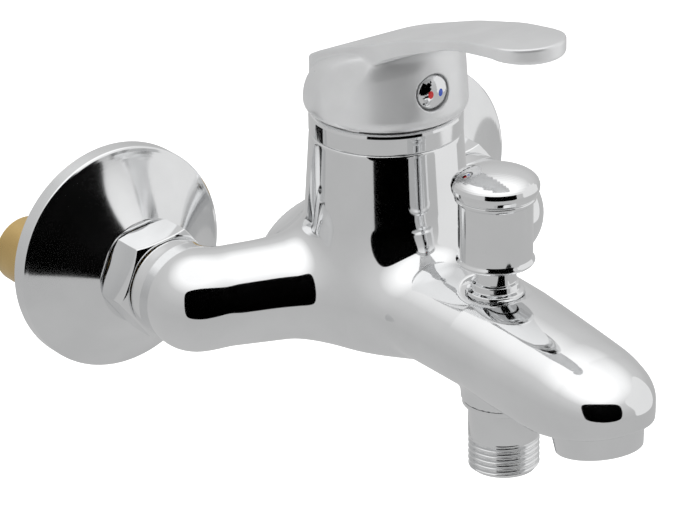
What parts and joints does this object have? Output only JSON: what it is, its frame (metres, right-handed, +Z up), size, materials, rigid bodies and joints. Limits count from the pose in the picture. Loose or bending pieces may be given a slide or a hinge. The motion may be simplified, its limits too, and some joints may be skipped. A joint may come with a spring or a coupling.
{
  "type": "wall mounted bath faucet",
  "caption": "Single-lever wall bath mixer with chevron body, spout with aerator, pull-up diverter, threaded shower outlet, offset unions and round wall covers.",
  "frame": {"origin": "on the wall face, midway between the two wall inlets", "axes": "+Y into the wall along the inlet studs, +Z up, +X to the right as seen from the front"},
  "size_m": [0.18, 0.2005, 0.1403],
  "materials": {
    "chrome_plate": "bright chrome plating on cast brass",
    "chrome_cover": "bright chrome plating on spun sheet",
    "brass": "plain machined brass",
    "steel": "stainless steel",
    "seal_rubber": "black sealing rubber",
    "valve_plastic": "moulded acetal",
    "ceramic": "lapped alumina"
  },
  "bodies": {
    "mixer": {"body": "chrome_plate", "port_gasket": "seal_rubber", "cartridge_base": "valve_plastic", "fixed_disc": "ceramic", "cartridge_housing": "valve_plastic", "clamp_nut": "brass", "cover_ring": "chrome_plate", "diverter_bonnet": "chrome_plate", "bonnet_oring": "seal_rubber", "diverter_spring": "steel", "outlet_nipple": "chrome_plate", "check_valve_cage": "valve_plastic", "check_valve_spring": "steel", "aerator_housing": "chrome_plate", "aerator_insert": "valve_plastic", "aerator_washer": "seal_rubber", "eccentric_union_l": "brass", "rosette_l": "chrome_cover", "union_nut_l": "chrome_plate", "inlet_tailpiece_l": "brass", "inlet_washer_l": "seal_rubber", "inlet_strainer_l": "steel", "eccentric_union_r": "brass", "rosette_r": "chrome_cover", "union_nut_r": "chrome_plate", "inlet_tailpiece_r": "brass", "inlet_washer_r": "seal_rubber", "inlet_strainer_r": "steel"},
    "rotor_core": {"rotor": "valve_plastic", "pivot_pin": "steel"},
    "lever": {"stem": "brass", "lever_handle": "chrome_plate", "grub_screw": "steel", "indicator_plug": "chrome_plate"},
    "slider": {"moving_disc": "ceramic", "disc_carrier": "valve_plastic"},
    "diverter": {"diverter_knob": "chrome_plate", "diverter_rod": "steel", "diverter_disc": "brass", "diverter_seal": "seal_rubber"},
    "poppet": {"check_valve_poppet": "valve_plastic"}
  },
  "joints": [
    {"name": "lever_swing", "type": "hinge", "parent": "mixer", "child": "rotor_core", "pos_m": [0, -0.066, 0.0395], "axis": [0, 0, 1], "range_deg": [-45, 45]},
    {"name": "lever_lift", "type": "hinge", "parent": "rotor_core", "child": "lever", "pos_m": [0, -0.066, 0.0395], "axis": [-1, 0, 0], "range_deg": [0, 22]},
    {"name": "disc_slide", "type": "slide", "parent": "rotor_core", "child": "slider", "axis": [0, -1, 0], "range_m": [0, 0.0048]},
    {"name": "diverter_pull", "type": "slide", "parent": "mixer", "child": "diverter", "axis": [0, 0, 1], "range_m": [0, 0.008], "stiffness_N_per_m": 150, "springref_m": -0.01, "deforming": ["diverter_spring"]},
    {"name": "check_valve_lift", "type": "slide", "parent": "mixer", "child": "poppet", "axis": [0, 0, -1], "range_m": [0, 0.003], "stiffness_N_per_m": 60, "springref_m": -0.004, "deforming": ["check_valve_spring"]}
  ],
  "couplings": [
    {"joint": "disc_slide", "follows": "lever_lift", "m_per_rad": 0.012}
  ]
}
